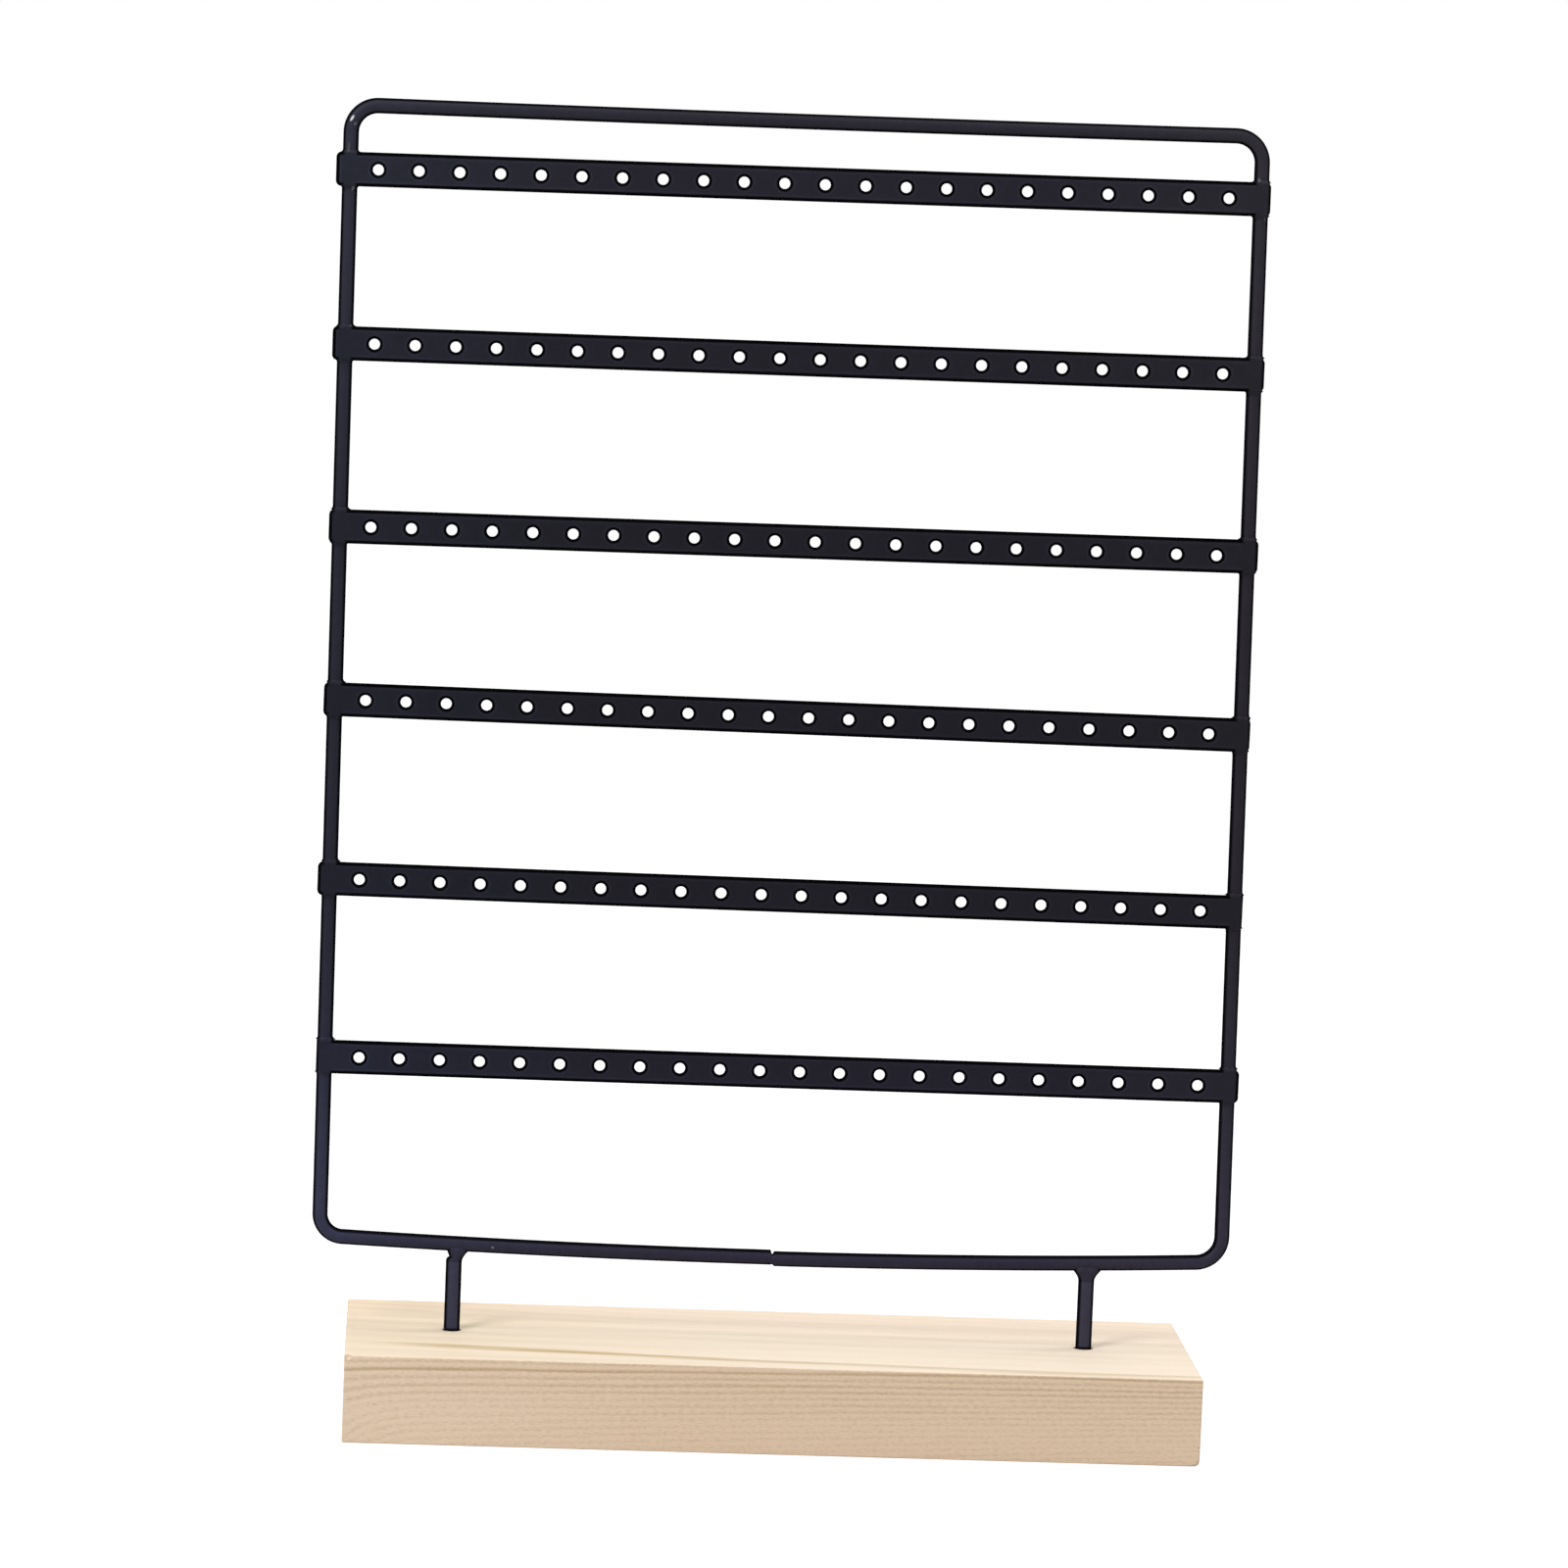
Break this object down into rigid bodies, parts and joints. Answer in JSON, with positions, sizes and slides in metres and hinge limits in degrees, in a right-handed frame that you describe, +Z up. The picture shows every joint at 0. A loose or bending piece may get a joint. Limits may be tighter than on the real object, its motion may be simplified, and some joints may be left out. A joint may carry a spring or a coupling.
{
  "type": "earring display stand",
  "caption": "Free-standing jewellery rack: rows of perforated flat metal strips welded across a bent rod frame that stands on two short posts in a wood block.",
  "frame": {"origin": "centre of the wood block's underside, on the surface that the stand rests on", "axes": "+Z up, +X to the right along the strips as seen from the front; the strips face -Y"},
  "size_m": [0.2565, 0.082, 0.362],
  "materials": {
    "strip_coat": "satin blue-black powder coat",
    "wire_coat": "satin blue-black powder coat",
    "pine": "sanded bare pale softwood with fine straight grain"
  },
  "bodies": {
    "root": {"base_block": "pine", "post_left": "wire_coat", "post_right": "wire_coat", "frame_rod": "wire_coat", "frame_butt_weld": "wire_coat", "post_weld_left": "wire_coat", "post_weld_right": "wire_coat", "hook_strip_1": "strip_coat", "hook_strip_2": "strip_coat", "hook_strip_3": "strip_coat", "hook_strip_4": "strip_coat", "hook_strip_5": "strip_coat", "hook_strip_6": "strip_coat", "strip_weld_left_1": "wire_coat", "strip_weld_left_2": "wire_coat", "strip_weld_left_3": "wire_coat", "strip_weld_left_4": "wire_coat", "strip_weld_left_5": "wire_coat", "strip_weld_left_6": "wire_coat", "strip_weld_right_1": "wire_coat", "strip_weld_right_2": "wire_coat", "strip_weld_right_3": "wire_coat", "strip_weld_right_4": "wire_coat", "strip_weld_right_5": "wire_coat", "strip_weld_right_6": "wire_coat"}
  },
  "joints": []
}
